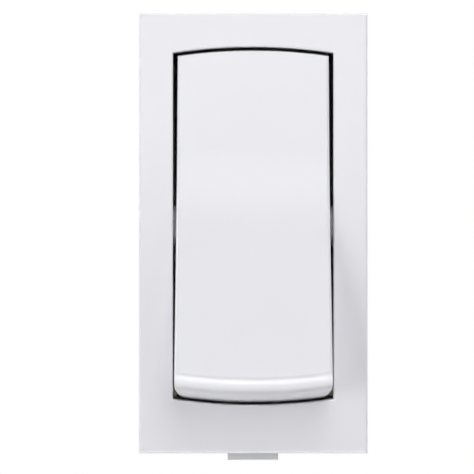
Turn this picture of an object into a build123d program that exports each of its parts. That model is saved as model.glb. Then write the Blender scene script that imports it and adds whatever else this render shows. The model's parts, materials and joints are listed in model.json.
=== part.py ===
from build123d import *
import math
import os

# One-module rocker wall switch, two-way (single pole, double throw).
# Millimetres. X to the right, Y into the wall, Z up. The front faces -Y.
# The origin is the middle of the plane in which the plate's rim seats on its grid frame.
# The rocker is drawn at rest: its lower half stands out and its upper half is flush.

# Front plate
PLATE_W = 23.4
PLATE_H = 45.0
PLATE_T = 2.4
PLATE_EDGE_R = 0.2

# The opening for the rocker, a little above the middle of the plate
OPENING_W = 16.45
OPENING_H = 36.7
OPENING_Z = 0.77
OPENING_EDGE_R = 0.12
END_BOW = 0.63  # how far the middle of each end stands out past its corners
LIP_T = 1.2
RELIEF_HALF_W = 8.7
RELIEF_HALF_H = 19.0

# Rocker and its pivot
PIVOT_Y = 1.6
PIVOT_Z = OPENING_Z
REST_TILT = 6.5  # degrees from level to either end of the travel
ROCKER_GAP = 0.47  # between rocker and plate at each end
ROCKER_HALF_TOP = 7.735
ROCKER_HALF_BOTTOM = 7.99
ROCKER_WALL = 1.2
ROCKER_EDGE_R = 0.3
ROCKER_SKIRT_Y = 2.8
BEND_Z = 1.8
BEND_R = 50.0
LOWER_SLOPE = 13.0
UPPER_SINK = 0.05
CREASE_Z = -15.2
LIP_R = 2.05
LIP_BOW_R = 54.0
CORNER_R = 1.9
TRUNNION_R = 1.2
TRUNNION_END = 9.7
SHOULDER_R = 2.1
SHOULDER_END = 8.55
BEARING_R = 1.25

# Plunger, in a boss behind the rocker. Distances are along the boss, from the pivot.
BOSS_R = 2.9
BOSS_BORE_R = 1.9
BOSS_FLOOR = -2.0
BOSS_END = 6.6
PLUNGER_R = 1.85
PLUNGER_BACK = 2.6
PLUNGER_SHOULDER = 7.2
PLUNGER_TIP_R = 1.5
PLUNGER_TIP = 8.0
SPRING_POCKET_R = 1.4
SPRING_POCKET_END = 5.8
SPRING_R = 1.05
SPRING_WIRE_R = 0.17
SPRING_TURNS = 7

# Housing behind the plate
HOUSING_HALF_W = 11.0
HOUSING_HALF_H = 21.0
HOUSING_D = 26.0
HOUSING_WALL = 1.1
REAR_WALL = 1.4
RIM_RECESS = 0.4
RIM_PLAY = 0.05
RIB_T = 1.2
HOUSING_EDGE_R = 0.7

# Cheeks of the front frame, which carry the rocker and clip into the housing
CHEEK_X = 8.7
CHEEK_T = 1.1
CHEEK_HALF_H = 7.5
CHEEK_END = 8.6
HOOK_X = 10.85
HOOK_DEPTH = 2.0
HOOK_INNER = 3.6
HOOK_OUTER = 6.4
WINDOW_PLAY = 0.15

# Catches that hold the switch in its grid frame
GRID_T = 2.1
TOP_CATCH_Z = 22.2
TOP_CATCH_X = (2.4, 6.4)
CATCH_DEPTH = 2.6
LATCH_HALF_W = 2.64
LATCH_NOSE_Z = -23.68
LATCH_T = 1.0
LATCH_TIP_T = 0.45
LATCH_HINGE_Y = 12.6
LATCH_PLAY = 0.3
LATCH_HINGE_PLAY = 0.05
LATCH_SOCKET_D = 1.2
LATCH_WINDOW_START = 1.0

# Contact lever, its saddle and the fixed contacts
LEVER_Y = 12.0
LEVER_TILT = 7.0
LEVER_HALF_L = 9.0
LEVER_HALF_W = 2.5
LEVER_T = 0.6
LEVER_BEAD_R = 0.6
SADDLE_R = 0.65
CRADLE_R = 2.8
CRADLE_CENTRE = -3.65
ARM_FRONT = -1.5
LEVER_CONTACT_Z = 7.3
CONTACT_DOME_R = 4.0
CONTACT_GAP = 0.03
MOVING_CONTACT_R = 1.4
MOVING_CONTACT_H = 0.6
FIXED_CONTACT_R = 1.6
CONTACT_SHANK_R = 0.8
SHANK_PLAY = 0.02
STRIP_Y = 13.25
STRIP_T = 0.8
SADDLE_HALF_W = 3.0
SADDLE_HALF_H = 1.5
EAR_X = 3.25
EAR_T = 0.8
EAR_FRONT = 10.4

# Terminals
CLAMP_W = 7.0
CLAMP_D = 7.2
CLAMP_H = 6.5
CLAMP_Z = 15.85
CLAMP_SIDE_X = 4.8
WIRE_R = 1.9
WIRE_DEPTH = 2.9  # from the clamp's front face to the middle of its wire tunnel
WIRE_SLOT_HALF_W = 2.25
THREAD_R = 1.5
SCREW_R = 1.42
SCREW_HEAD_R = 2.8
SCREW_HEAD_T = 1.5
SCREW_TRAVEL = 2.2
SCREW_SLOT_W = 0.8
SCREW_SLOT_DEPTH = 0.7
ACCESS_R = 3.1

REACH = 30.0  # longer than anything it is used to trim
CLAMP_Y = STRIP_Y + STRIP_T
WIRE_Y = CLAMP_Y + WIRE_DEPTH
SCREW_TIP_Y = WIRE_Y + WIRE_R + 0.05
SCREW_HEAD_Y = CLAMP_Y + CLAMP_D + SCREW_TRAVEL + 0.1
INNER_HALF_W = HOUSING_HALF_W - HOUSING_WALL
INNER_HALF_H = HOUSING_HALF_H - HOUSING_WALL
REAR_INSIDE = HOUSING_D - REAR_WALL
PIVOT = Axis((0, PIVOT_Y, PIVOT_Z), (1, 0, 0))
TERMINALS = {
    "top": (0.0, CLAMP_Z),
    "bottom": (-CLAMP_SIDE_X, -CLAMP_Z),
    "common": (CLAMP_SIDE_X, -CLAMP_Z),
}


def block(x, y, z):
    """A box between two limits on each axis."""
    size = Box(x[1] - x[0], y[1] - y[0], z[1] - z[0])
    return Pos(sum(x) / 2, sum(y) / 2, sum(z) / 2) * size


def disc_y(x, z, y, radius):
    """A cylinder along Y between two depths."""
    rod = Cylinder(radius, y[1] - y[0], rotation=(-90, 0, 0))
    return Pos(x, sum(y) / 2, z) * rod


def disc_x(x, y, z, radius):
    """A cylinder along X between two limits."""
    rod = Cylinder(radius, x[1] - x[0], rotation=(0, 90, 0))
    return Pos(sum(x) / 2, y, z) * rod


def disc_z(x, y, z, radius):
    """A cylinder along Z between two limits."""
    return Pos(x, y, sum(z) / 2) * Cylinder(radius, z[1] - z[0])


def plan_prism(outline, y):
    """A face drawn in X and Z, extruded between two depths."""
    back = Plane(origin=(0, y[1], 0), x_dir=(1, 0, 0), z_dir=(0, -1, 0))
    return extrude(back * outline, amount=y[1] - y[0])


def side_prism(points, half_width):
    """A polygon drawn in Y and Z, extruded to both sides of the middle."""
    return extrude(Plane.YZ * make_face(Polyline(*points, close=True)), half_width, both=True)


def top_prism(points, z):
    """A polygon drawn in X and Y, extruded between two heights."""
    low = Plane.XY.offset(z[0])
    return extrude(low * make_face(Polyline(*points, close=True)), z[1] - z[0])


def mirrored(part):
    """The part together with its mirror image across X."""
    return part + mirror(part, Plane.YZ)


def bowed_outline(half_top, half_bottom, half_height, bow, middle):
    """A tall outline with straight sides and ends that bow outwards."""
    top = middle + half_height
    bottom = middle - half_height
    edges = [
        Line((-half_bottom, bottom + bow), (-half_top, top - bow)),
        ThreePointArc((-half_top, top - bow), (0, top), (half_top, top - bow)),
        Line((half_top, top - bow), (half_bottom, bottom + bow)),
        ThreePointArc((half_bottom, bottom + bow), (0, bottom), (-half_bottom, bottom + bow)),
    ]
    return make_face(edges)


def face_point(z, height):
    """A point in Y and Z from its place above the pivot and its height above the plate."""
    return (-PLATE_T - height, PIVOT_Z + z)


def turned(part, degrees):
    """The part turned about the rocker's pivot, where positive pushes the lower end in."""
    return part.rotate(PIVOT, degrees)


def front_frame():
    """The plate with its opening, and two cheeks behind it that carry the rocker."""
    half_w = PLATE_W / 2
    half_h = PLATE_H / 2
    plate = block((-half_w, half_w), (-PLATE_T, 0), (-half_h, half_h))
    plate = fillet(plate.faces().sort_by(Axis.Y)[0].edges(), PLATE_EDGE_R)
    opening = bowed_outline(OPENING_W / 2, OPENING_W / 2, OPENING_H / 2, END_BOW, OPENING_Z)
    plate -= plan_prism(opening, (-PLATE_T, 0))
    rim_of_opening = plate.faces().sort_by(Axis.Y)[0].inner_wires()[0].edges()
    plate = fillet(rim_of_opening, OPENING_EDGE_R)
    relief_z = (OPENING_Z - RELIEF_HALF_H, OPENING_Z + RELIEF_HALF_H)
    plate -= block((-RELIEF_HALF_W, RELIEF_HALF_W), (LIP_T - PLATE_T, 0), relief_z)
    recess_x = HOUSING_HALF_W + RIM_PLAY
    recess_z = HOUSING_HALF_H + RIM_PLAY
    plate -= block((-recess_x, recess_x), (-RIM_RECESS, 0), (-recess_z, recess_z))
    return plate + mirrored(cheek())


def cheek():
    """One side cheek with its bearing hole and two snap hooks."""
    outer = CHEEK_X + CHEEK_T
    reach = (PIVOT_Z - CHEEK_HALF_H, PIVOT_Z + CHEEK_HALF_H)
    wall = block((CHEEK_X, outer), (-RIM_RECESS, CHEEK_END), reach)
    corners = wall.edges().filter_by(Axis.X).group_by(Axis.Y)[-1]
    wall = fillet(corners, 1.5)
    wall -= disc_x((CHEEK_X, outer), PIVOT_Y, PIVOT_Z, BEARING_R)
    hook_start = CHEEK_END - HOOK_DEPTH
    hook_plan = [(outer, hook_start), (HOOK_X, hook_start), (outer, CHEEK_END)]
    hook_z = (PIVOT_Z + HOOK_INNER, PIVOT_Z + HOOK_OUTER)
    hook = top_prism(hook_plan, hook_z)
    return wall + hook + mirror(hook, Plane.XY.offset(PIVOT_Z))


def rocker_section(inset, rear_y):
    """The rocker's side view: flush above, sloping outwards below, joined by a soft bend."""
    slope = math.radians(LOWER_SLOPE)
    tangent = BEND_R * math.tan(slope / 2)
    level = -UPPER_SINK - inset
    top = face_point(REACH, level)
    bend_start = face_point(BEND_Z + tangent, level)
    drop = tangent * math.cos(slope)
    rise = tangent * math.sin(slope)
    bend_end = face_point(BEND_Z - drop, level + rise)
    bottom = face_point(BEND_Z - REACH * math.cos(slope), level + REACH * math.sin(slope))
    rear_bottom = (rear_y, bottom[1])
    rear_top = (rear_y, top[1])
    edges = [
        Line(top, bend_start),
        TangentArc(bend_start, bend_end, tangent=(0, -1)),
        Line(bend_end, bottom),
        Line(bottom, rear_bottom),
        Line(rear_bottom, rear_top),
        Line(rear_top, top),
    ]
    return extrude(Plane.YZ * make_face(edges), 2 * ROCKER_HALF_BOTTOM, both=True)


def barrel(inset):
    """The bowed ends as one surface of revolution, so that the gap stays even in a tilt."""
    arm = PLATE_T + PIVOT_Y
    half_h = OPENING_H / 2 - ROCKER_GAP
    middle_r = math.hypot(half_h, arm) - inset
    side_r = math.hypot(half_h - END_BOW, arm) - inset
    half_w = OPENING_W / 2
    edges = [
        Line((-half_w, 0), (-half_w, side_r)),
        ThreePointArc((-half_w, side_r), (0, middle_r), (half_w, side_r)),
        Line((half_w, side_r), (half_w, 0)),
        Line((half_w, 0), (-half_w, 0)),
    ]
    middle = Plane(origin=(0, PIVOT_Y, PIVOT_Z), x_dir=(1, 0, 0), z_dir=(0, -1, 0))
    return revolve(middle * make_face(edges), PIVOT)


def tapered_sides(inset):
    """The rocker's plan: wider at the bottom, with bowed ends and rounded lower corners."""
    half_h = math.hypot(OPENING_H / 2 - ROCKER_GAP, PLATE_T + PIVOT_Y)
    half_top = ROCKER_HALF_TOP - inset
    half_bottom = ROCKER_HALF_BOTTOM - inset
    outline = bowed_outline(half_top, half_bottom, half_h, END_BOW, PIVOT_Z)
    lower_corners = outline.vertices().group_by(Axis.Y)[0]
    return plan_prism(fillet(lower_corners, CORNER_R), (-REACH, REACH))


def thumb_lip():
    """Everything inside the rounded lip, which follows the bow of the lower edge."""
    slope = math.radians(LOWER_SLOPE)
    height = -UPPER_SINK + (BEND_Z - CREASE_Z) * math.tan(slope)
    crease = face_point(CREASE_Z, height)
    above = face_point(CREASE_Z + 2.0, height)
    lip_end = face_point(CREASE_Z - LIP_R, height - LIP_R)
    along = (math.sin(slope), math.cos(slope))
    out = (-math.cos(slope), math.sin(slope))
    hub = (crease[0] + LIP_BOW_R * along[0], crease[1] + LIP_BOW_R * along[1])
    hub_front = (hub[0] + 8 * out[0], hub[1] + 8 * out[1])
    hub_back = (hub[0] - 30 * out[0], hub[1] - 30 * out[1])
    edge_back = (hub_back[0] - 60 * along[0], hub_back[1] - 60 * along[1])
    edges = [
        Line(hub_front, above),
        Line(above, crease),
        TangentArc(crease, lip_end, tangent=(0, -1)),
        Line(lip_end, edge_back),
        Line(edge_back, hub_back),
        Line(hub_back, hub_front),
    ]
    axis = Axis((0, hub[0], hub[1]), (0, out[0], out[1]))
    half = revolve(Plane.YZ * make_face(edges), axis, 30)
    return half + mirror(half, Plane.YZ)


def rocker():
    """The hollow rocker with its trunnions, cross web and plunger boss."""
    solid = rocker_section(0, REACH) & tapered_sides(0)
    solid = fillet(front_side_edges(solid), ROCKER_EDGE_R) & thumb_lip() & barrel(0)
    hollow = rocker_section(ROCKER_WALL, 2 * REACH) & tapered_sides(ROCKER_WALL)
    hollow = hollow & Pos(0, ROCKER_WALL, 0) * thumb_lip() & barrel(ROCKER_WALL)
    shell = solid - hollow
    front = block((-REACH, REACH), (-REACH, ROCKER_SKIRT_Y), (-REACH, REACH))
    shell &= turned(front, -REST_TILT)
    envelope = rocker_section(0.5 * ROCKER_WALL, 2 * REACH) & barrel(0.5 * ROCKER_WALL)
    half_web = ROCKER_HALF_TOP - 0.2
    web = block((-half_web, half_web), (-REACH, PIVOT_Y + 1.0), (-0.6, 0.6))
    web = Pos(0, 0, PIVOT_Z) * web & envelope
    boss = along_boss(BOSS_R, -REACH, BOSS_END) & envelope
    bore = along_boss(BOSS_BORE_R, BOSS_FLOOR, 2 * BOSS_END)
    return shell + mirrored(trunnion()) + web + boss - bore


def front_side_edges(solid):
    """The long edges between the rocker's face and its two sides."""
    beside = solid.edges().filter_by(lambda edge: abs(edge.center().X) > 7.0)
    return beside.filter_by(lambda edge: edge.center().Y < -PLATE_T + 0.2)


def trunnion():
    """One stub shaft with the shoulder that keeps the rocker central."""
    start = ROCKER_HALF_TOP - 0.5 * ROCKER_WALL
    shoulder = disc_x((start, SHOULDER_END), PIVOT_Y, PIVOT_Z, SHOULDER_R)
    return shoulder + disc_x((start, TRUNNION_END), PIVOT_Y, PIVOT_Z, TRUNNION_R)


def along_boss(radius, start, end):
    """A cylinder on the boss's axis at rest, between two distances from the pivot."""
    rod = disc_y(0, PIVOT_Z, (PIVOT_Y + start, PIVOT_Y + end), radius)
    return turned(rod, -REST_TILT)


def plunger():
    """The sliding plunger: a hollow body, a shoulder and a round tip."""
    body = along_boss(PLUNGER_R, PLUNGER_BACK, PLUNGER_SHOULDER)
    neck = along_boss(PLUNGER_TIP_R, PLUNGER_SHOULDER, PLUNGER_TIP)
    tip = turned(Pos(0, PIVOT_Y + PLUNGER_TIP, PIVOT_Z) * Sphere(PLUNGER_TIP_R), -REST_TILT)
    pocket = along_boss(SPRING_POCKET_R, PLUNGER_BACK, SPRING_POCKET_END)
    return body + neck + tip - pocket


def plunger_spring():
    """The coil spring between the boss's floor and the plunger's pocket."""
    length = SPRING_POCKET_END - BOSS_FLOOR - 2 * SPRING_WIRE_R - 0.04
    path = Helix(pitch=length / SPRING_TURNS, height=length, radius=SPRING_R)
    section = Plane(origin=path @ 0, z_dir=path % 0) * Circle(SPRING_WIRE_R)
    coil = sweep(section, path=path, is_frenet=True)
    start = PIVOT_Y + BOSS_FLOOR + SPRING_WIRE_R + 0.02
    laid = Pos(0, start, PIVOT_Z) * Rot(-90, 0, 0) * coil
    return turned(laid, -REST_TILT)


def base_housing():
    """The box behind the plate, open to the front, with its windows, holes, ribs and catches."""
    outer = block(
        (-HOUSING_HALF_W, HOUSING_HALF_W),
        (-RIM_RECESS, HOUSING_D),
        (-HOUSING_HALF_H, HOUSING_HALF_H),
    )
    outer = fillet(outer.edges().filter_by(Axis.Y), HOUSING_EDGE_R)
    outer = fillet(outer.faces().sort_by(Axis.Y)[-1].edges(), 0.5 * HOUSING_EDGE_R)
    inside = block(
        (-INNER_HALF_W, INNER_HALF_W),
        (-REACH, REAR_INSIDE),
        (-INNER_HALF_H, INNER_HALF_H),
    )
    shell = outer - inside - mirrored(snap_windows()) - latch_window()
    for x, z in TERMINALS.values():
        shell -= disc_y(x, z, (REAR_INSIDE - 1, HOUSING_D + 1), ACCESS_R)
        shell -= wire_slot(x, z)
    return shell + housing_ribs() + mirrored(top_catch()) + latch_socket()


def wire_slot(x, z):
    """The slot that leads a wire to one clamp: open at the end wall and at the rear."""
    wall = (CLAMP_Z, HOUSING_HALF_H + 1)
    reach = wall if z > 0 else (-wall[1], -wall[0])
    half = WIRE_SLOT_HALF_W
    slot = block((x - half, x + half), (WIRE_Y - half, HOUSING_D + 1), reach)
    return fillet(slot.edges().filter_by(Axis.Z).group_by(Axis.Y)[0], 0.6)


def snap_windows():
    """The two openings in one side wall that the cheek's hooks spring into."""
    x = (INNER_HALF_W - 0.5, HOUSING_HALF_W + 0.5)
    y = (CHEEK_END - HOOK_DEPTH - WINDOW_PLAY, CHEEK_END + WINDOW_PLAY)
    z = (PIVOT_Z + HOOK_INNER - WINDOW_PLAY, PIVOT_Z + HOOK_OUTER + WINDOW_PLAY)
    upper = block(x, y, z)
    return upper + mirror(upper, Plane.XY.offset(PIVOT_Z))


def latch_window():
    """The slot in the bottom wall that the latch moves in."""
    half_w = LATCH_HALF_W + LATCH_PLAY
    depth = (LATCH_WINDOW_START, LATCH_HINGE_Y + LATCH_SOCKET_D)
    return block((-half_w, half_w), depth, (-HOUSING_HALF_H - 1, -INNER_HALF_H + 1))


def latch_socket():
    """The rounded end of that slot, in which the latch's root turns."""
    half_w = LATCH_HALF_W + LATCH_PLAY
    middle = -HOUSING_HALF_H + LATCH_T / 2
    root_r = LATCH_T / 2 + LATCH_HINGE_PLAY
    wall = (-HOUSING_HALF_H, -INNER_HALF_H)
    pad = block((-half_w, half_w), (LATCH_HINGE_Y, LATCH_HINGE_Y + LATCH_SOCKET_D), wall)
    return pad - disc_x((-half_w, half_w), LATCH_HINGE_Y, middle, root_r)


def top_catch():
    """One of the two fixed catches on the top wall, sloped at the back."""
    side = [
        (GRID_T, HOUSING_HALF_H - 0.3),
        (GRID_T, TOP_CATCH_Z),
        (GRID_T + 0.8, TOP_CATCH_Z),
        (GRID_T + CATCH_DEPTH, HOUSING_HALF_H),
        (GRID_T + CATCH_DEPTH, HOUSING_HALF_H - 0.3),
    ]
    start = Plane.YZ.offset(TOP_CATCH_X[0])
    return extrude(start * make_face(Polyline(*side, close=True)), TOP_CATCH_X[1] - TOP_CATCH_X[0])


def housing_ribs():
    """The ribs from the rear wall that carry the contact strips and part the terminals."""
    strip_back = (CLAMP_Y, REAR_INSIDE + 0.2)
    contact_z = fixed_contact_height()
    ribs = []
    for z in (PIVOT_Z + contact_z, PIVOT_Z - contact_z):
        ribs.append(block((-1.9, 1.9), strip_back, (z - RIB_T / 2 - 1.4, z + RIB_T / 2 - 1.4)))
        ribs.append(block((-1.9, 1.9), strip_back, (z - RIB_T / 2 + 1.4, z + RIB_T / 2 + 1.4)))
    for x in (-2.4, 2.4):
        half = RIB_T / 2
        ribs.append(block((x - half, x + half), strip_back, (PIVOT_Z - 1.5, PIVOT_Z + 1.5)))
    ribs.append(block((5.6, 5.6 + RIB_T), strip_back, (-10.0, -2.0)))
    inner_end = CLAMP_Z - CLAMP_H / 2 - 1.0
    divider = (inner_end, INNER_HALF_H + 0.2)
    for x in (-4.4, 4.4):
        ribs.append(block((x - RIB_T / 2, x + RIB_T / 2), strip_back, divider))
    low = (-divider[1], -divider[0] - 1.5)
    behind_latch = (LATCH_HINGE_Y + LATCH_SOCKET_D, REAR_INSIDE + 0.2)
    ribs.append(block((-RIB_T / 2, RIB_T / 2), behind_latch, low))
    return Part() + ribs


def mounting_latch():
    """The springy tongue in the bottom wall, with the nose that catches behind the grid frame."""
    half_w = LATCH_HALF_W
    low = -HOUSING_HALF_H
    middle = low + LATCH_T / 2
    side = [
        (GRID_T, low + LATCH_TIP_T),
        (GRID_T, LATCH_NOSE_Z),
        (GRID_T + 0.9, LATCH_NOSE_Z),
        (GRID_T + 4.6, low),
        (LATCH_HINGE_Y, low),
        (LATCH_HINGE_Y, low + LATCH_T),
        (GRID_T + 3.0, low + LATCH_T),
    ]
    tongue = side_prism(side, half_w)
    return tongue + disc_x((-half_w, half_w), LATCH_HINGE_Y, middle, LATCH_T / 2)


def fixed_contact_height():
    """How far above or below the pivot the lever's contact meets the fixed one."""
    tilt = math.radians(LEVER_TILT)
    centre = ARM_FRONT + LEVER_T + MOVING_CONTACT_H - CONTACT_DOME_R
    return LEVER_CONTACT_Z * math.cos(tilt) - centre * math.sin(tilt)


def fixed_contact_tip():
    """The depth of the fixed contact's crown, just clear of the closed lever's contact."""
    tilt = math.radians(LEVER_TILT)
    centre = ARM_FRONT + LEVER_T + MOVING_CONTACT_H - CONTACT_DOME_R
    forward = centre * math.cos(tilt) + LEVER_CONTACT_Z * math.sin(tilt)
    return LEVER_Y + forward + CONTACT_DOME_R + CONTACT_GAP


def lever_at_rest(part):
    """A part drawn with the lever level, turned to its place at rest."""
    return part.rotate(Axis((0, LEVER_Y, PIVOT_Z), (1, 0, 0)), LEVER_TILT)


def moving_contact():
    """The rocking lever: two arms, a cradle for the plunger and the bead that it rocks on."""
    front = LEVER_Y + ARM_FRONT
    width = (-LEVER_HALF_W, LEVER_HALF_W)
    arms = block(width, (front, front + LEVER_T), (-LEVER_HALF_L, LEVER_HALF_L))
    arms = fillet(arms.edges().filter_by(Axis.Y), 1.2)
    centre = LEVER_Y + CRADLE_CENTRE
    trough = disc_x(width, centre, 0, CRADLE_R + LEVER_T)
    trough &= block(width, (front, REACH), (-REACH, REACH))
    lever = arms + trough + disc_x(width, LEVER_Y, 0, LEVER_BEAD_R)
    lever -= disc_x(width, centre, 0, CRADLE_R)
    for z in (-LEVER_CONTACT_Z, LEVER_CONTACT_Z):
        lever -= disc_y(0, z, (front, front + LEVER_T), CONTACT_SHANK_R + SHANK_PLAY)
    return lever_at_rest(Pos(0, 0, PIVOT_Z) * lever)


def domed_contact(radius, height, shank):
    """A contact rivet on the Y axis: a domed head facing +Y, with its shank behind the head."""
    dome = Pos(0, height - CONTACT_DOME_R, 0) * Sphere(CONTACT_DOME_R)
    head = disc_y(0, 0, (0, height), radius) & dome
    return head + disc_y(0, 0, (-shank, 0.05), CONTACT_SHANK_R)


def moving_contact_rivet(side):
    """A contact rivet in one arm of the lever, clenched on the front."""
    rivet = domed_contact(MOVING_CONTACT_R, MOVING_CONTACT_H, LEVER_T + 0.05)
    rivet += disc_y(0, 0, (-LEVER_T - 0.25, -LEVER_T), 1.3 * CONTACT_SHANK_R)
    back = LEVER_Y + ARM_FRONT + LEVER_T
    return lever_at_rest(Pos(0, back, PIVOT_Z + side * LEVER_CONTACT_Z) * rivet)


def fixed_contact_rivet(side):
    """A contact rivet in a fixed strip, domed towards the lever."""
    height = STRIP_Y - fixed_contact_tip()
    rivet = domed_contact(FIXED_CONTACT_R, height, STRIP_T)
    z = PIVOT_Z + side * fixed_contact_height()
    return Pos(0, STRIP_Y, z) * Rot(0, 0, 180) * rivet


def strip(points):
    """A flat brass strip with the given outline in X and Z."""
    outline = make_face(Polyline(*points, close=True))
    return plan_prism(outline, (STRIP_Y, STRIP_Y + STRIP_T))


def rivet_hole(z):
    """The hole for a fixed contact's shank."""
    return disc_y(0, z, (STRIP_Y, STRIP_Y + STRIP_T), CONTACT_SHANK_R + SHANK_PLAY)


def fixed_contact_plate_top():
    """The strip from the upper fixed contact to the top terminal."""
    half_w = CLAMP_W / 2
    start = CLAMP_Z - CLAMP_H / 2
    end = CLAMP_Z + CLAMP_H / 2
    z = PIVOT_Z + fixed_contact_height()
    right = [(1.9, z - 2.2), (1.9, start - 1.2), (half_w, start), (half_w, end)]
    left = [(-x, height) for x, height in reversed(right)]
    return strip(right + left) - rivet_hole(z)


def fixed_contact_plate_bottom():
    """The strip from the lower fixed contact to the left-hand terminal."""
    left = -CLAMP_SIDE_X - CLAMP_W / 2
    right = -CLAMP_SIDE_X + CLAMP_W / 2
    start = -CLAMP_Z + CLAMP_H / 2
    end = -CLAMP_Z - CLAMP_H / 2
    z = PIVOT_Z - fixed_contact_height()
    outline = [
        (-1.9, z + 2.2), (1.9, z + 2.2), (1.9, z - 2.2), (right, start),
        (right, end), (left, end), (left, start), (-1.9, z - 1.0),
    ]
    return strip(outline) - rivet_hole(z)


def common_terminal_plate():
    """The strip with the lever's saddle and guide ears, down to the right-hand terminal."""
    ear_end = EAR_X + EAR_T
    low = PIVOT_Z - SADDLE_HALF_H
    high = PIVOT_Z + SADDLE_HALF_H
    right = CLAMP_SIDE_X + CLAMP_W / 2
    left = CLAMP_SIDE_X - CLAMP_W / 2
    start = -CLAMP_Z + CLAMP_H / 2
    end = -CLAMP_Z - CLAMP_H / 2
    outline = [
        (-ear_end, low), (-ear_end, high), (7.2, high), (right, low), (right, end),
        (left, end), (left, start), (4.6, start + 2.4), (4.6, low),
    ]
    plate = strip(outline)
    plate += block((-SADDLE_HALF_W, SADDLE_HALF_W), (LEVER_Y, STRIP_Y + 0.1), (low, high))
    plate += mirrored(block((EAR_X, ear_end), (EAR_FRONT, STRIP_Y + 0.1), (low, high)))
    return plate - disc_x((-REACH, REACH), LEVER_Y, PIVOT_Z, SADDLE_R) + ears_middle()


def ears_middle():
    """The middle of both ears, which the saddle's groove doesn't cut."""
    return mirrored(
        block(
            (EAR_X, EAR_X + EAR_T),
            (EAR_FRONT, STRIP_Y + 0.1),
            (PIVOT_Z - 1.2 * SADDLE_R, PIVOT_Z + 1.2 * SADDLE_R),
        )
    )


def terminal_clamp(x, z):
    """A brass block with a tunnel for the wire and a threaded hole for its screw."""
    half_w = CLAMP_W / 2
    half_h = CLAMP_H / 2
    clamp = block(
        (x - half_w, x + half_w), (CLAMP_Y, CLAMP_Y + CLAMP_D), (z - half_h, z + half_h)
    )
    clamp = chamfer(clamp.edges().filter_by(Axis.Z), 0.4)
    clamp -= disc_z(x, WIRE_Y, (z - half_h, z + half_h), WIRE_R)
    return clamp - disc_y(x, z, (WIRE_Y, CLAMP_Y + CLAMP_D), THREAD_R)


def terminal_screw(x, z):
    """A terminal screw, backed out so that the wire tunnel is open."""
    shank = disc_y(x, z, (SCREW_TIP_Y, SCREW_HEAD_Y + 0.1), SCREW_R)
    shank = chamfer(shank.faces().sort_by(Axis.Y)[0].edges(), 0.25)
    head_end = SCREW_HEAD_Y + SCREW_HEAD_T
    head = disc_y(x, z, (SCREW_HEAD_Y, head_end), SCREW_HEAD_R)
    head = fillet(head.faces().sort_by(Axis.Y)[-1].edges(), 0.4)
    half = SCREW_SLOT_W / 2
    for size in ((SCREW_HEAD_R + 1, half), (half, 1.7)):
        slot_x = (x - size[0], x + size[0])
        slot_z = (z - size[1], z + size[1])
        head -= block(slot_x, (head_end - SCREW_SLOT_DEPTH, head_end), slot_z)
    return shank + head


def write(name, part):
    """Writes one named part."""
    export_step(part, f"parts/{name}.step")


def main():
    os.makedirs("parts", exist_ok=True)
    write("front_frame", front_frame())
    write("rocker", rocker())
    write("plunger", plunger())
    write("plunger_spring", plunger_spring())
    write("base_housing", base_housing())
    write("mounting_latch", mounting_latch())
    write("moving_contact", moving_contact())
    write("common_terminal_plate", common_terminal_plate())
    write("fixed_contact_plate_top", fixed_contact_plate_top())
    write("fixed_contact_plate_bottom", fixed_contact_plate_bottom())
    for name, side in (("top", 1), ("bottom", -1)):
        write(f"moving_contact_rivet_{name}", moving_contact_rivet(side))
        write(f"fixed_contact_rivet_{name}", fixed_contact_rivet(side))
    for name, (x, z) in TERMINALS.items():
        write(f"terminal_clamp_{name}", terminal_clamp(x, z))
        write(f"terminal_screw_{name}", terminal_screw(x, z))


main()
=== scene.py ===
import json
import math
from functools import partial

import bmesh
import bpy
from mathutils import Matrix, Vector


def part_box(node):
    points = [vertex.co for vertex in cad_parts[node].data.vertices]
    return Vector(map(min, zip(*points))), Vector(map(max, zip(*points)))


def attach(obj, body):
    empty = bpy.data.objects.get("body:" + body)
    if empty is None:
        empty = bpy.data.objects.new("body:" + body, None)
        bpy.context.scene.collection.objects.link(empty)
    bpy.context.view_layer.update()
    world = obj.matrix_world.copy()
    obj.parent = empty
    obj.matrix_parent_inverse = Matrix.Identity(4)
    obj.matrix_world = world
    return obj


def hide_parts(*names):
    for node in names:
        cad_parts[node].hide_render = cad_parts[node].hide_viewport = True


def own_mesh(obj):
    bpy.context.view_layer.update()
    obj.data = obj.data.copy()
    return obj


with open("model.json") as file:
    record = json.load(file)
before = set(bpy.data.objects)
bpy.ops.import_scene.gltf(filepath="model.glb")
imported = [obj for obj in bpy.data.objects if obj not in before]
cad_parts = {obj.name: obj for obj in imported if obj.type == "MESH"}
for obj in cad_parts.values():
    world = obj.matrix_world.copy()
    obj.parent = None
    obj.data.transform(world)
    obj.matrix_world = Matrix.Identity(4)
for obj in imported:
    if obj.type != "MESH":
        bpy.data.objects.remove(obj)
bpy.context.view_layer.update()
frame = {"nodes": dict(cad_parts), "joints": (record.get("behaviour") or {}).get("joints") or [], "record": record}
MM = 0.001
SHARP_DEGREES = 35


# ---------------------------------------------------------------- materials

BEVEL_SAMPLES = 6
RAMP_START, RAMP_END = 0.35, 0.65


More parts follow.
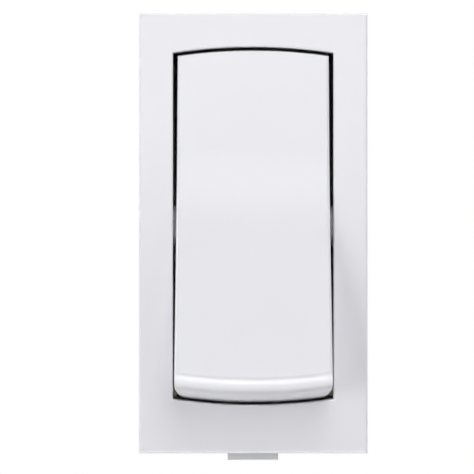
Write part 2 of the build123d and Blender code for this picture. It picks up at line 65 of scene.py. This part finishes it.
class Nodes:
    """A small helper that builds one material's node tree."""

    def __init__(self, name):
        self.material = bpy.data.materials.new(name)
        self.material.use_nodes = True
        self.tree = self.material.node_tree
        self.tree.nodes.clear()
        self.shader = self.add("ShaderNodeBsdfPrincipled")
        output = self.add("ShaderNodeOutputMaterial")
        self.link(self.shader, "BSDF", output, "Surface")
        self.coords = self.add("ShaderNodeTexCoord")

    def add(self, kind, **settings):
        node = self.tree.nodes.new(kind)
        for key, value in settings.items():
            setattr(node, key, value)
        return node

    def link(self, source, output, target, socket):
        self.tree.links.new(source.outputs[output], target.inputs[socket])

    def noise(self, scale, detail=3.0, roughness=0.5, stretch=None):
        """Noise in object space, 0 to 1. Its scale is per metre, times the stretch on each axis."""
        node = self.add("ShaderNodeTexNoise")
        node.inputs["Scale"].default_value = scale
        node.inputs["Detail"].default_value = detail
        node.inputs["Roughness"].default_value = roughness
        if stretch is None:
            self.link(self.coords, "Object", node, "Vector")
            return node
        mapping = self.add("ShaderNodeMapping")
        mapping.inputs["Scale"].default_value = stretch
        self.link(self.coords, "Object", mapping, "Vector")
        self.link(mapping, "Vector", node, "Vector")
        return node

    def ramp(self, noise, low, high):
        """A colour between two colours, by the middle values of a noise."""
        node = self.add("ShaderNodeValToRGB")
        node.color_ramp.elements[0].position = RAMP_START
        node.color_ramp.elements[1].position = RAMP_END
        node.color_ramp.elements[0].color = (*low, 1)
        node.color_ramp.elements[1].color = (*high, 1)
        self.link(noise, "Fac", node, "Fac")
        return node

    def spread(self, source, output, low, high):
        """A number mapped from 0..1 to low..high."""
        node = self.add("ShaderNodeMapRange")
        node.inputs["To Min"].default_value = low
        node.inputs["To Max"].default_value = high
        self.link(source, output, node, "Value")
        return node

    def soft_edges(self, radius):
        """Normals that turn smoothly over every edge, as a worn or moulded edge does."""
        node = self.add("ShaderNodeBevel", samples=BEVEL_SAMPLES)
        node.inputs["Radius"].default_value = radius
        return node

    def bump(self, noise, distance, under):
        """Relief of a given depth, by a noise, on top of another node's normals."""
        node = self.add("ShaderNodeBump")
        node.inputs["Distance"].default_value = distance
        self.link(noise, "Fac", node, "Height")
        self.link(under, "Normal", node, "Normal")
        return node


# Noise scales are per metre.
PLASTIC_CLOUDS = 110.0
PLASTIC_PATCHES = 420.0
PLASTIC_WAVES = 260.0
PLASTIC_WAVE_DEPTH = 0.002 * MM
PLASTIC_EDGE_R = 0.15 * MM
PLASTIC_IOR = 1.5
METAL_CLOUDS = 500.0
METAL_STREAKS = 900.0
METAL_EDGE_R = 0.08 * MM
EVEN = (1, 1, 1)
DRAWN_OUT_ALONG_Z = (1, 1, 0.06)


def moulded_plastic(name, low, high, roughness, grain_scale, grain_depth):
    """Moulded plastic: faint clouding, a fine grain and a slow waviness of the surface."""
    nodes = Nodes(name)
    clouds = nodes.noise(PLASTIC_CLOUDS, detail=4.0)
    colour = nodes.ramp(clouds, low, high)
    nodes.link(colour, "Color", nodes.shader, "Base Color")
    patches = nodes.noise(PLASTIC_PATCHES, detail=5.0, roughness=0.6)
    rough = nodes.spread(patches, "Fac", *roughness)
    nodes.link(rough, "Result", nodes.shader, "Roughness")
    grain = nodes.noise(grain_scale, detail=2.0)
    waves = nodes.noise(PLASTIC_WAVES, detail=1.0)
    slow = nodes.bump(waves, PLASTIC_WAVE_DEPTH, nodes.soft_edges(PLASTIC_EDGE_R))
    fine = nodes.bump(grain, grain_depth, slow)
    nodes.link(fine, "Normal", nodes.shader, "Normal")
    nodes.shader.inputs["IOR"].default_value = PLASTIC_IOR
    return nodes.material


def metal(name, low, high, roughness, stretch, depth):
    """Worked metal: mottled colour, and marks in roughness and relief that may be drawn out."""
    nodes = Nodes(name)
    clouds = nodes.noise(METAL_CLOUDS, detail=5.0, roughness=0.65)
    colour = nodes.ramp(clouds, low, high)
    nodes.link(colour, "Color", nodes.shader, "Base Color")
    streaks = nodes.noise(METAL_STREAKS, detail=6.0, roughness=0.7, stretch=stretch)
    rough = nodes.spread(streaks, "Fac", *roughness)
    nodes.link(rough, "Result", nodes.shader, "Roughness")
    relief = nodes.bump(streaks, depth, nodes.soft_edges(METAL_EDGE_R))
    nodes.link(relief, "Normal", nodes.shader, "Normal")
    nodes.shader.inputs["Metallic"].default_value = 1.0
    return nodes.material


def white_plastic():
    """Polished white plastic: the frame, the rocker and the latch."""
    return moulded_plastic(
        "white_plastic",
        low=(0.775, 0.775, 0.81),
        high=(0.785, 0.785, 0.82),
        roughness=(0.27, 0.30),
        grain_scale=9000.0,
        grain_depth=0.0004 * MM,
    )


def housing_plastic():
    """Duller plastic with a coarser grain: the housing behind the frame."""
    return moulded_plastic(
        "housing_plastic",
        low=(0.66, 0.66, 0.655),
        high=(0.69, 0.69, 0.68),
        roughness=(0.42, 0.58),
        grain_scale=4800.0,
        grain_depth=0.016 * MM,
    )


def plunger_nylon():
    """Uncoloured nylon, a little yellow: the plunger."""
    return moulded_plastic(
        "plunger_nylon",
        low=(0.66, 0.62, 0.50),
        high=(0.74, 0.70, 0.58),
        roughness=(0.40, 0.55),
        grain_scale=7000.0,
        grain_depth=0.004 * MM,
    )


def brass():
    """Rolled brass strip: the moving contact, the fixed contact plates and the terminals."""
    return metal(
        "brass",
        low=(0.70, 0.50, 0.20),
        high=(0.86, 0.66, 0.32),
        roughness=(0.22, 0.42),
        stretch=DRAWN_OUT_ALONG_Z,
        depth=0.004 * MM,
    )


def silver_contact():
    """The silver of the contact rivets."""
    return metal(
        "silver_contact",
        low=(0.68, 0.67, 0.65),
        high=(0.84, 0.83, 0.80),
        roughness=(0.25, 0.45),
        stretch=EVEN,
        depth=0.003 * MM,
    )


def plated_steel():
    """Plated steel: the terminal screws."""
    return metal(
        "plated_steel",
        low=(0.52, 0.52, 0.50),
        high=(0.74, 0.73, 0.70),
        roughness=(0.20, 0.42),
        stretch=EVEN,
        depth=0.004 * MM,
    )


def spring_steel():
    """Darker steel wire: the plunger's spring."""
    return metal(
        "spring_steel",
        low=(0.34, 0.34, 0.35),
        high=(0.52, 0.52, 0.53),
        roughness=(0.22, 0.38),
        stretch=EVEN,
        depth=0.002 * MM,
    )


FINISH = {
    "white_plastic": white_plastic(),
    "housing_plastic": housing_plastic(),
    "plunger_plastic": plunger_nylon(),
    "brass": brass(),
    "silver_contact": silver_contact(),
    "plated_steel": plated_steel(),
    "spring_steel": spring_steel(),
}


def dress_cad_nodes():
    """Gives every CAD node the detailed material of its slot."""
    for entry in frame["record"]["subparts"]:
        node = frame["nodes"][entry["node"]]
        node.data.materials.clear()
        node.data.materials.append(FINISH[entry["material_slot"]])


# ---------------------------------------------------------------- pieces

def skin(bm, rings):
    """Joins rings of points, all of one length, into a closed tube with ends."""
    loops = [[bm.verts.new(point) for point in ring] for ring in rings]
    count = len(rings[0])
    for near, far in zip(loops, loops[1:]):
        for i in range(count):
            j = (i + 1) % count
            bm.faces.new((near[i], near[j], far[j], far[i]))
    bm.faces.new(loops[0])
    bm.faces.new(loops[-1])


def smooth_between_edges(mesh, sharp_degrees=SHARP_DEGREES):
    """Shades a mesh smooth, except across edges that turn by more than an angle."""
    mesh.shade_smooth()
    mesh.set_sharp_from_angle(angle=math.radians(sharp_degrees))


def finished_mesh(name, bm, sharp_degrees=SHARP_DEGREES):
    """The mesh with its normals outwards, smooth except at sharp edges."""
    bmesh.ops.recalc_face_normals(bm, faces=bm.faces)
    mesh = bpy.data.meshes.new(name)
    bm.to_mesh(mesh)
    bm.free()
    smooth_between_edges(mesh, sharp_degrees)
    return mesh


def add_piece(mesh, body, material_slot, replaced=()):
    """Adds a mesh as a piece that rides on a body and takes its finish from a slot."""
    piece = bpy.data.objects.new(mesh.name, mesh)
    bpy.context.scene.collection.objects.link(piece)
    mesh.materials.clear()
    mesh.materials.append(FINISH[material_slot])
    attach(piece, body)
    if replaced:
        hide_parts(*replaced)
    return piece


def outward_from_y(angle):
    """The unit vector away from the Y axis at an angle from X towards Z."""
    return Vector((math.cos(angle), 0, math.sin(angle)))


def ring_about_y(radius, y, steps=72):
    """A ring of points about the Y axis. The radius may be a number or a function of the turn."""
    points = []
    for i in range(steps):
        turn = i / steps
        angle = 2 * math.pi * turn
        r = radius(turn) if callable(radius) else radius
        points.append((r * math.cos(angle), y, r * math.sin(angle)))
    return points


# ------------------------------------------------ cutting

CUTTER_CLEARANCE = 0.5 * MM


def wedge(bm, half_x, half_z, top, depth, taper, middle=(0, 0)):
    """A cutter for a recess: a block from above a surface down to a floor, taper times as wide."""
    corners = []
    for y, share in ((top - depth, taper), (top + CUTTER_CLEARANCE, 1.0)):
        for sx, sz in ((-1, -1), (1, -1), (1, 1), (-1, 1)):
            x = middle[0] + sx * half_x * share
            z = middle[1] + sz * half_z * share
            corners.append(bm.verts.new((x, y, z)))
    low, high = corners[:4], corners[4:]
    bm.faces.new(low)
    bm.faces.new(high)
    for i in range(4):
        j = (i + 1) % 4
        bm.faces.new((low[i], low[j], high[j], high[i]))


def cut(mesh, name, cutter_makers):
    """A new mesh under a name: the given one less each cutter."""
    body = bpy.data.objects.new("cut_body", mesh)
    bpy.context.scene.collection.objects.link(body)
    cutters = []
    for maker in cutter_makers:
        bm = bmesh.new()
        maker(bm)
        tool = bpy.data.objects.new("cutter", finished_mesh("cutter", bm))
        bpy.context.scene.collection.objects.link(tool)
        cutters.append(tool)
        boolean = body.modifiers.new("cut", "BOOLEAN")
        boolean.operation = "DIFFERENCE"
        boolean.solver = "EXACT"
        boolean.object = tool
    evaluated = body.evaluated_get(bpy.context.evaluated_depsgraph_get())
    result = bpy.data.meshes.new_from_object(evaluated)
    for used in [body] + cutters:
        bpy.data.objects.remove(used)
    result.name = name
    smooth_between_edges(result)
    return result


# ------------------------------------------------ terminal screws

SHANK_R = 1.42 * MM
THREAD_PITCH = 0.5 * MM
THREAD_DEPTH = 0.28 * MM
THREAD_FADE = 0.5 * MM
THREAD_FLAT = 0.12  # the share of half a pitch that is level, at the crest and at the root
RINGS_PER_PITCH = 10
TIP_LENGTH = 0.3 * MM
TIP_TAPER = 0.25 * MM
HEAD_R = 2.8 * MM
HEAD_T = 1.5 * MM
HEAD_CROWN = 0.15 * MM
HEAD_CHAMFER = 0.12 * MM
HEAD_EDGE_R = 0.35 * MM
HEAD_EDGE_STEPS = 6
SLOT_W = 0.75 * MM
SLOT_DEPTH = 0.75 * MM
CROSS_REACH = 1.55 * MM
CROSS_DEPTH = 1.15 * MM
CROSS_TAPER = 0.6
HEAD_TURNS = {"top": 24, "bottom": -38, "common": 71}  # degrees


def thread_ring(y, length):
    """One ring of the threaded shank, y above its tip. The thread fades out at both ends."""
    fade = min(1.0, y / THREAD_FADE, (length - y) / THREAD_FADE)
    tip_taper = TIP_TAPER * max(0.0, 1 - y / TIP_LENGTH)

    def radius(turn):
        phase = (y / THREAD_PITCH - turn) % 1.0
        slope = (abs(2 * phase - 1) - THREAD_FLAT) / (1 - 2 * THREAD_FLAT)
        flank = min(1.0, max(0.0, slope))
        return SHANK_R - tip_taper - THREAD_DEPTH * fade * flank

    return ring_about_y(radius, y)


def screw_head_rings(seat):
    """The lathe-turned head, from its chamfered seat to its slightly crowned top."""
    rings = [
        ring_about_y(HEAD_R - HEAD_CHAMFER, seat),
        ring_about_y(HEAD_R, seat + HEAD_CHAMFER),
    ]
    shoulder = seat + HEAD_T - HEAD_CROWN - HEAD_EDGE_R
    for i in range(HEAD_EDGE_STEPS + 1):
        angle = 0.5 * math.pi * i / HEAD_EDGE_STEPS
        radius = HEAD_R - HEAD_EDGE_R * (1 - math.cos(angle))
        rings.append(ring_about_y(radius, shoulder + HEAD_EDGE_R * math.sin(angle)))
    for share in (0.75, 0.5, 0.25, 0.05):
        radius = share * (HEAD_R - HEAD_EDGE_R)
        rings.append(ring_about_y(radius, seat + HEAD_T - HEAD_CROWN * share * share))
    return rings


def screw_recess(top):
    """Cutters for the screw's slot and its cross."""
    half_slot = SLOT_W / 2
    across_head = HEAD_R + CUTTER_CLEARANCE
    slot = partial(wedge, top=top, depth=SLOT_DEPTH, taper=1.0)
    cross = partial(wedge, top=top, depth=CROSS_DEPTH, taper=CROSS_TAPER)
    return [
        partial(slot, half_x=across_head, half_z=half_slot),
        partial(cross, half_x=half_slot, half_z=CROSS_REACH),
        partial(cross, half_x=CROSS_REACH, half_z=half_slot),
    ]


def screw_mesh(name, length, head_turn):
    """A machine screw with its tip at the origin and its head towards +Y."""
    bm = bmesh.new()
    steps = round(RINGS_PER_PITCH * length / THREAD_PITCH)
    shank = [thread_ring(length * i / steps, length) for i in range(steps + 1)]
    skin(bm, shank + screw_head_rings(length))
    mesh = cut(finished_mesh(name, bm), name, screw_recess(length + HEAD_T))
    mesh.transform(Matrix.Rotation(math.radians(head_turn), 4, "Y"))
    return mesh


def terminal_screws():
    """The three clamp screws, each with its head turned a different way."""
    for place, head_turn in HEAD_TURNS.items():
        node = "terminal_screw_" + place
        low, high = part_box(node)
        length = high[1] - low[1] - HEAD_T
        mesh = screw_mesh("clamp_screw_" + place, length, head_turn)
        middle = Vector(((low[0] + high[0]) / 2, low[1], (low[2] + high[2]) / 2))
        mesh.transform(Matrix.Translation(middle))
        add_piece(mesh, "screw_" + place, "plated_steel", [node])


# ------------------------------------------------ plunger spring

SPRING_R = 1.05 * MM
SPRING_WIRE_R = 0.17 * MM
SPRING_TURNS = 8
CLOSED_TURNS = 1.0
CLOSED_PITCH = 2.1 * SPRING_WIRE_R
RINGS_PER_TURN = 36
WIRE_SIDES = 12
WIRE_SHARP_DEGREES = 60


def spring_rise(turn, length):
    """How far along the spring its wire is after a number of turns: closed at both ends."""
    closed = CLOSED_PITCH * CLOSED_TURNS
    if turn < CLOSED_TURNS:
        return closed * turn / CLOSED_TURNS
    if turn > SPRING_TURNS - CLOSED_TURNS:
        return length - closed * (SPRING_TURNS - turn) / CLOSED_TURNS
    share = (turn - CLOSED_TURNS) / (SPRING_TURNS - 2 * CLOSED_TURNS)
    return closed + share * (length - 2 * closed)


def wire_ring(turn, length):
    """A ring round the wire after a number of turns of a spring that rises along Y."""
    outward = outward_from_y(2 * math.pi * turn)
    centre = outward * SPRING_R + Vector((0, spring_rise(turn, length), 0))
    ring = []
    for k in range(WIRE_SIDES):
        around = 2 * math.pi * k / WIRE_SIDES
        offset = outward * math.cos(around) + Vector((0, math.sin(around), 0))
        ring.append(centre + SPRING_WIRE_R * offset)
    return ring


def plunger_spring():
    """The coil spring that drives the plunger; it rides on the rocker."""
    slide = next(joint for joint in frame["joints"] if joint["name"] == "plunger_slide")
    along = -Vector(slide["axis"]).normalized()
    low, high = (Vector(corner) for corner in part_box("plunger_spring"))
    middle = (low + high) / 2
    width = SPRING_R * abs(along.z) + SPRING_WIRE_R
    length = (high.y - low.y - 2 * width) / along.y
    start = middle - along * (length / 2)
    turn_to_axis = Vector((0, 1, 0)).rotation_difference(along)

    steps = RINGS_PER_TURN * SPRING_TURNS
    rings = []
    for i in range(steps + 1):
        ring = wire_ring(SPRING_TURNS * i / steps, length)
        rings.append([start + turn_to_axis @ point for point in ring])
    bm = bmesh.new()
    skin(bm, rings)
    mesh = finished_mesh("coil_spring", bm, WIRE_SHARP_DEGREES)
    spring = add_piece(mesh, "rocker", "spring_steel", ["plunger_spring"])
    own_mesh(spring)


# ------------------------------------------------ raised details of the housing

RIB_COUNT = 5
RIB_PITCH = 1.9 * MM
RIB_SETBACK = 3.2 * MM  # from the rear wall to the first rib's middle
RIB_REACH = 9.0 * MM
RIB_HALF_W = 0.45 * MM
RIB_HEIGHT = 0.28 * MM
RIB_STEPS = 24
RIB_SIDES = 20
RIB_TIP = 0.02  # the share of its section that a rib keeps at its very ends

END_WALL_Z = 21.0 * MM
DOTS = {"common": (1, 1), "bottom": (2, -1), "top": (3, 1)}  # how many, and on which side in X
DOT_OFFSET_X = 4.3 * MM
DOT_FIRST_Y = 17.0 * MM
DOT_PITCH = 1.5 * MM
DOT_R = 0.42 * MM
DOT_HEIGHT = 0.25 * MM
DOT_SUNK = 0.02 * MM
DOT_RINGS = 8
DOT_STEPS = 28
DOT_TIP = 0.02  # the share of its radius that a dot keeps at its top

SIDE_WALL_INSIDE_X = 9.9 * MM
GUARD_SUNK = 0.1 * MM
GUARD_FRONT, GUARD_BACK = 12.0 * MM, 12.6 * MM
GUARD_LOW, GUARD_HIGH = -19.3 * MM, -17.8 * MM
GUARD_CHAMFER = 0.12 * MM


def grip_rib(bm, start, end, outward):
    """A low rounded rib, half sunk in a wall, that fades into it at both ends."""
    start, end, outward = Vector(start), Vector(end), Vector(outward)
    along = (end - start).normalized()
    across = along.cross(outward)
    length = (end - start).length
    rings = []
    for i in range(RIB_STEPS + 1):
        share = -math.cos(math.pi * i / RIB_STEPS)
        distance = length * (1 + share) / 2
        near_end = min(distance, length - distance) / (2 * RIB_HALF_W)
        size = math.sqrt(max(0.0, 1 - (1 - min(1.0, near_end)) ** 2))
        size = max(size, RIB_TIP)
        ring = []
        for k in range(RIB_SIDES):
            angle = 2 * math.pi * k / RIB_SIDES
            offset = across * (RIB_HALF_W * math.cos(angle)) + outward * (RIB_HEIGHT * math.sin(angle))
            ring.append(start + along * distance + offset * size)
        rings.append(ring)
    skin(bm, rings)


def grip_ribs():
    """Shallow grip ribs on both side walls of the housing."""
    outside_x, rear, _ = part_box("base_housing")[1]
    bm = bmesh.new()
    for side in (-1, 1):
        wall = side * outside_x
        for i in range(RIB_COUNT):
            y = rear - (RIB_SETBACK + RIB_PITCH * i)
            grip_rib(bm, (wall, y, -RIB_REACH), (wall, y, RIB_REACH), (side, 0, 0))
    add_piece(finished_mesh("grip_ribs", bm), "base", "housing_plastic")


def dot(bm, x, y, upward):
    """A low dome on the upper (1) or lower (-1) end wall."""
    wall = upward * END_WALL_Z
    rings = []
    for k in range(DOT_RINGS + 1):
        angle = 0.5 * math.pi * k / DOT_RINGS
        radius = max(DOT_R * math.cos(angle), DOT_TIP * DOT_R)
        level = wall + upward * (DOT_HEIGHT * math.sin(angle) - DOT_SUNK)
        rings.append([(x + px, y + pz, level) for px, _, pz in ring_about_y(radius, 0, DOT_STEPS)])
    skin(bm, rings)


def terminal_dots():
    """One, two or three raised dots beside each wire slot, which tell the terminals apart."""
    bm = bmesh.new()
    for place, (count, side) in DOTS.items():
        low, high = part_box("terminal_clamp_" + place)
        upward = 1 if low[2] > 0 else -1
        x = (low[0] + high[0]) / 2 + side * DOT_OFFSET_X
        for i in range(count):
            dot(bm, x, DOT_FIRST_Y + DOT_PITCH * i, upward)
    add_piece(finished_mesh("terminal_dots", bm), "base", "housing_plastic")


def guard_rib():
    """A rib across the housing, in front of the terminals, that keeps dust off the contacts."""
    profile = [
        (GUARD_FRONT, GUARD_LOW + GUARD_CHAMFER),
        (GUARD_FRONT, GUARD_HIGH - GUARD_CHAMFER),
        (GUARD_FRONT + GUARD_CHAMFER, GUARD_HIGH),
        (GUARD_BACK - GUARD_CHAMFER, GUARD_HIGH),
        (GUARD_BACK, GUARD_HIGH - GUARD_CHAMFER),
        (GUARD_BACK, GUARD_LOW + GUARD_CHAMFER),
        (GUARD_BACK - GUARD_CHAMFER, GUARD_LOW),
        (GUARD_FRONT + GUARD_CHAMFER, GUARD_LOW),
    ]
    reach = SIDE_WALL_INSIDE_X + GUARD_SUNK
    bm = bmesh.new()
    skin(bm, [[(x, y, z) for y, z in profile] for x in (-reach, reach)])
    add_piece(finished_mesh("guard_rib", bm), "base", "housing_plastic")


# ------------------------------------------------ marks sunk into the housing's rear wall

WELD_DISTANCE = 1e-7
LEVEL = 0.9999  # the least share of a wall's normal that lies along one axis

BARED_LENGTH = 8.0 * MM
GAUGE_ARM = 2.6 * MM
GAUGE_HALF_W = 0.3 * MM
GAUGE_DEPTH = 0.3 * MM
GAUGE_TAPER = 0.9

EJECTOR_X = 7.5 * MM
EJECTOR_ROWS_Z = (15.0 * MM, -6.5 * MM)
EJECTOR_R = 1.1 * MM
EJECTOR_RIM_R = 0.13 * MM
EJECTOR_STEPS = 48
EJECTOR_RIM_SIDES = 12


def gauge_cutters(rear):
    """Cutters for the wire gauge: a long groove with an arm at each end, a bared length apart."""
    groove = partial(wedge, top=rear, depth=GAUGE_DEPTH, taper=GAUGE_TAPER)
    half_bar = BARED_LENGTH / 2 + GAUGE_HALF_W
    arms = [(side * BARED_LENGTH / 2, GAUGE_ARM / 2) for side in (-1, 1)]
    cutters = [partial(groove, half_x=GAUGE_HALF_W, half_z=GAUGE_ARM / 2, middle=arm) for arm in arms]
    return cutters + [partial(groove, half_x=half_bar, half_z=GAUGE_HALF_W)]


def ejector_ring(bm, x, rear, z):
    """A cutter for the ring that an ejector pin of the mould leaves in the rear wall."""
    loops = []
    for i in range(EJECTOR_STEPS):
        outward = outward_from_y(2 * math.pi * i / EJECTOR_STEPS)
        loop = []
        for k in range(EJECTOR_RIM_SIDES):
            around = 2 * math.pi * k / EJECTOR_RIM_SIDES
            middle = Vector((x, rear + EJECTOR_RIM_R * math.sin(around), z))
            offset = outward * (EJECTOR_R + EJECTOR_RIM_R * math.cos(around))
            loop.append(bm.verts.new(middle + offset))
        loops.append(loop)
    for i in range(EJECTOR_STEPS):
        near, far = loops[i - 1], loops[i]
        for k in range(EJECTOR_RIM_SIDES):
            bm.faces.new((near[k - 1], near[k], far[k], far[k - 1]))


def ejector_cutters(rear):
    """Cutters for the marks of the mould's four ejector pins."""
    cutters = []
    for z in EJECTOR_ROWS_Z:
        for x in (-EJECTOR_X, EJECTOR_X):
            cutters.append(partial(ejector_ring, x=x, rear=rear, z=z))
    return cutters


def part_walls_from_roundings(mesh):
    """Marks each edge between a wall and a rounding as sharp, so that the walls shade as level."""
    bm = bmesh.new()
    bm.from_mesh(mesh)
    for edge in bm.edges:
        walls = [max(abs(part) for part in face.normal) > LEVEL for face in edge.link_faces]
        if any(walls) and not all(walls):
            edge.smooth = False
    bm.to_mesh(mesh)
    bm.free()


def welded_copy(node):
    """A copy of a CAD node's mesh as one closed surface, without its imported normals."""
    bm = bmesh.new()
    bm.from_mesh(frame["nodes"][node].data)
    bmesh.ops.remove_doubles(bm, verts=bm.verts, dist=WELD_DISTANCE)
    mesh = finished_mesh("welded_" + node, bm)
    imported_normals = mesh.attributes.get("custom_normal")
    if imported_normals is not None:
        mesh.attributes.remove(imported_normals)
    return mesh


def engraved_housing():
    """The CAD housing with a wire gauge and the mould's marks sunk into its rear wall."""
    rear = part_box("base_housing")[1][1]
    cutters = gauge_cutters(rear) + ejector_cutters(rear)
    mesh = cut(welded_copy("base_housing"), "engraved_housing", cutters)
    part_walls_from_roundings(mesh)
    add_piece(mesh, "base", "housing_plastic", ["base_housing"])


# ---------------------------------------------------------------- studio

# Each light: degrees to the right of the front, degrees up, distance in metres,
# width and height in metres, and watts.
SOFTBOXES = {
    "left_softbox": (-66, 0, 0.6, (0.4, 0.4), 2.3),
    "right_softbox": (66, 0, 0.6, (0.4, 0.4), 1.05),
    "top_softbox": (20, 48, 0.6, (0.4, 0.4), 1.9),
    "overhead_softbox": (0, 78, 0.6, (0.4, 0.4), 1.5),
    "back_left_softbox": (-140, 20, 0.6, (0.4, 0.4), 1.5),
    "back_right_softbox": (140, 20, 0.6, (0.4, 0.4), 0.9),
}
# These show only as reflections in gloss. The last four join into a fan below the switch.
SHINE_PANELS = {
    "high_shine_panel": (0, 7, 0.6, (0.30, 0.10), 0.6),
    "low_shine_panel": (0, -34, 0.26, (0.30, 0.073), 0.60),
    "lower_shine_panel": (0, -50, 0.24, (0.30, 0.068), 0.40),
    "lowest_shine_panel": (0, -66, 0.205, (0.30, 0.058), 0.25),
    "under_shine_panel": (0, -82, 0.19, (0.30, 0.053), 0.18),
}

WHITE = (1, 1, 1, 1)
FILL_COLOUR = (0.97, 0.98, 1.0, 1)
FILL_STRENGTH = 0.06

FLOOR_SIZE = 2.4
FLOOR_MIDDLE = (0, 0.1, -0.2)
FLOOR_SPECKLE = 60.0
FLOOR_DARK = (0.54, 0.54, 0.54)
FLOOR_LIGHT = (0.56, 0.56, 0.56)
FLOOR_ROUGHNESS = 0.8
FLOOR_GLOW = 0.62

CAMERA_PLACE = (-1.66 * MM, -202.4 * MM, -0.36 * MM)
SENSOR_WIDTH = 36.0  # in millimetres, as the lens is
LENS = 148.5
CLIP_NEAR, CLIP_FAR = 0.01, 10.0


def area_light(name, around, up, distance, size, power):
    """A soft rectangular light that faces the switch from a given direction."""
    data = bpy.data.lights.new(name, "AREA")
    data.shape = "RECTANGLE"
    data.size, data.size_y = size
    data.energy = power
    light = bpy.data.objects.new(name, data)
    bpy.context.scene.collection.objects.link(light)
    turn = math.radians(around)
    rise = math.radians(up)
    place = Vector((math.sin(turn) * math.cos(rise), -math.cos(turn) * math.cos(rise), math.sin(rise)))
    light.location = distance * place
    light.rotation_euler = (-place).to_track_quat("-Z", "Y").to_euler()
    return light


def surroundings():
    """White as the camera sees it, with only a faint fill light from it."""
    world = bpy.data.worlds.new("surroundings")
    bpy.context.scene.world = world
    world.use_nodes = True
    tree = world.node_tree
    tree.nodes.clear()
    output = tree.nodes.new("ShaderNodeOutputWorld")
    mix = tree.nodes.new("ShaderNodeMixShader")
    seen = tree.nodes.new("ShaderNodeBackground")
    fill = tree.nodes.new("ShaderNodeBackground")
    path = tree.nodes.new("ShaderNodeLightPath")
    seen.inputs["Color"].default_value = WHITE
    fill.inputs["Color"].default_value = FILL_COLOUR
    fill.inputs["Strength"].default_value = FILL_STRENGTH
    tree.links.new(path.outputs["Is Camera Ray"], mix.inputs["Fac"])
    tree.links.new(fill.outputs["Background"], mix.inputs[1])
    tree.links.new(seen.outputs["Background"], mix.inputs[2])
    tree.links.new(mix.outputs["Shader"], output.inputs["Surface"])


def floor_paint():
    """Pale matt paint, lightly speckled, with a glow that the camera sees but that lights nothing."""
    paint = Nodes("floor_paint")
    speckle = paint.noise(FLOOR_SPECKLE)
    tone = paint.ramp(speckle, FLOOR_DARK, FLOOR_LIGHT)
    paint.link(tone, "Color", paint.shader, "Base Color")
    paint.shader.inputs["Roughness"].default_value = FLOOR_ROUGHNESS
    path = paint.add("ShaderNodeLightPath")
    glow = paint.spread(path, "Is Camera Ray", 0.0, FLOOR_GLOW)
    paint.shader.inputs["Emission Color"].default_value = WHITE
    paint.link(glow, "Result", paint.shader, "Emission Strength")
    return paint.material


def floor():
    """A plain pale floor, well below the switch."""
    bpy.ops.mesh.primitive_plane_add(size=FLOOR_SIZE, location=FLOOR_MIDDLE)
    plane = bpy.context.object
    plane.name = "floor"
    plane.data.materials.append(floor_paint())


def studio():
    """White surroundings, a floor, and soft lights, the strongest of them left and above."""
    bpy.context.scene.view_settings.view_transform = "Standard"
    surroundings()
    floor()
    for name, settings in SOFTBOXES.items():
        area_light(name, *settings)
    for name, settings in SHINE_PANELS.items():
        area_light(name, *settings).visible_diffuse = False


def camera():
    """A long lens straight in front, a little to the left of the switch's middle."""
    data = bpy.data.cameras.new("camera")
    data.sensor_width = SENSOR_WIDTH
    data.lens = LENS
    data.clip_start = CLIP_NEAR
    data.clip_end = CLIP_FAR
    cam = bpy.data.objects.new("camera", data)
    bpy.context.scene.collection.objects.link(cam)
    cam.location = CAMERA_PLACE
    cam.rotation_euler = (math.radians(90), 0, 0)
    bpy.context.scene.camera = cam


dress_cad_nodes()
terminal_screws()
plunger_spring()
grip_ribs()
terminal_dots()
engraved_housing()
guard_rib()
studio()
camera()
